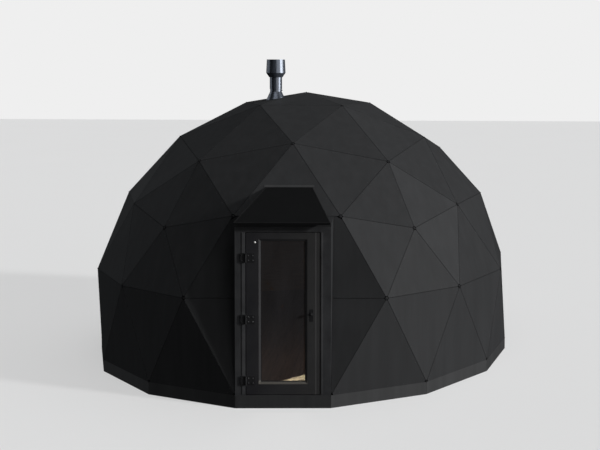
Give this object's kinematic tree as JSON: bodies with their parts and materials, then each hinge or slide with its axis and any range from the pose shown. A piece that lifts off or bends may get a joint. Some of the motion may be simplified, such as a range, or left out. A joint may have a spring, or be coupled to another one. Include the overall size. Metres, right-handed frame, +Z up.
{
  "type": "geodesic dome cabin",
  "caption": "Geodesic dome cabin in flat black triangular panels on a riser band, with a box doorway, awning, glazed door and flue.",
  "frame": {"origin": "on the ground under the crown hub, at the middle of the flat underside", "axes": "+Z up, the door faces -Y, +X to the right of someone facing the door"},
  "size_m": [5.852, 5.9418, 4.1928],
  "materials": {
    "cladding": "matte black",
    "lining": "satin plywood",
    "timber": "planed softwood",
    "hub_steel": "matte black",
    "floor_boards": "oiled boards",
    "door_frame": "satin black",
    "glass": "clear, lightly tinted",
    "ironmongery": "satin black",
    "awning": "matte black",
    "flue": "polished black chrome"
  },
  "bodies": {
    "dome": {"crown_panels": "cladding", "upper_panels": "cladding", "shoulder_panels_left": "cladding", "shoulder_panels_right": "cladding", "middle_panels_left": "cladding", "middle_panels_right": "cladding", "base_panels_left": "cladding", "base_panels_right": "cladding", "cheek_panels_left": "cladding", "cheek_panels_right": "cladding", "crown_lining": "lining", "upper_lining": "lining", "shoulder_lining": "lining", "middle_lining": "lining", "base_lining": "lining", "cheek_lining": "lining", "upper_struts": "timber", "shoulder_struts": "timber", "middle_struts": "timber", "base_struts": "timber", "sole_plates": "timber", "hubs": "hub_steel", "riser_band": "cladding", "floor_platform": "timber", "floor_deck": "floor_boards", "box_side_left": "cladding", "box_side_right": "cladding", "box_roof": "cladding", "left_jamb": "door_frame", "right_jamb": "door_frame", "door_head": "door_frame", "door_threshold": "door_frame", "door_stops": "door_frame", "awning_roof": "awning", "awning_sides": "awning", "frame_hinges": "ironmongery", "flue_boot": "flue", "flue_pipe": "flue", "flue_cowl": "flue"},
    "door": {"leaf_stiles": "door_frame", "leaf_rails": "door_frame", "glazing_beads": "door_frame", "door_glass": "glass", "leaf_hinges": "ironmongery", "door_knob": "ironmongery"}
  },
  "joints": [
    {"name": "door_hinge", "type": "hinge", "parent": "dome", "child": "door", "pos_m": [-0.44244, -2.90641, 1.076], "axis": [0, 0, -1], "range_deg": [0, 105]}
  ]
}
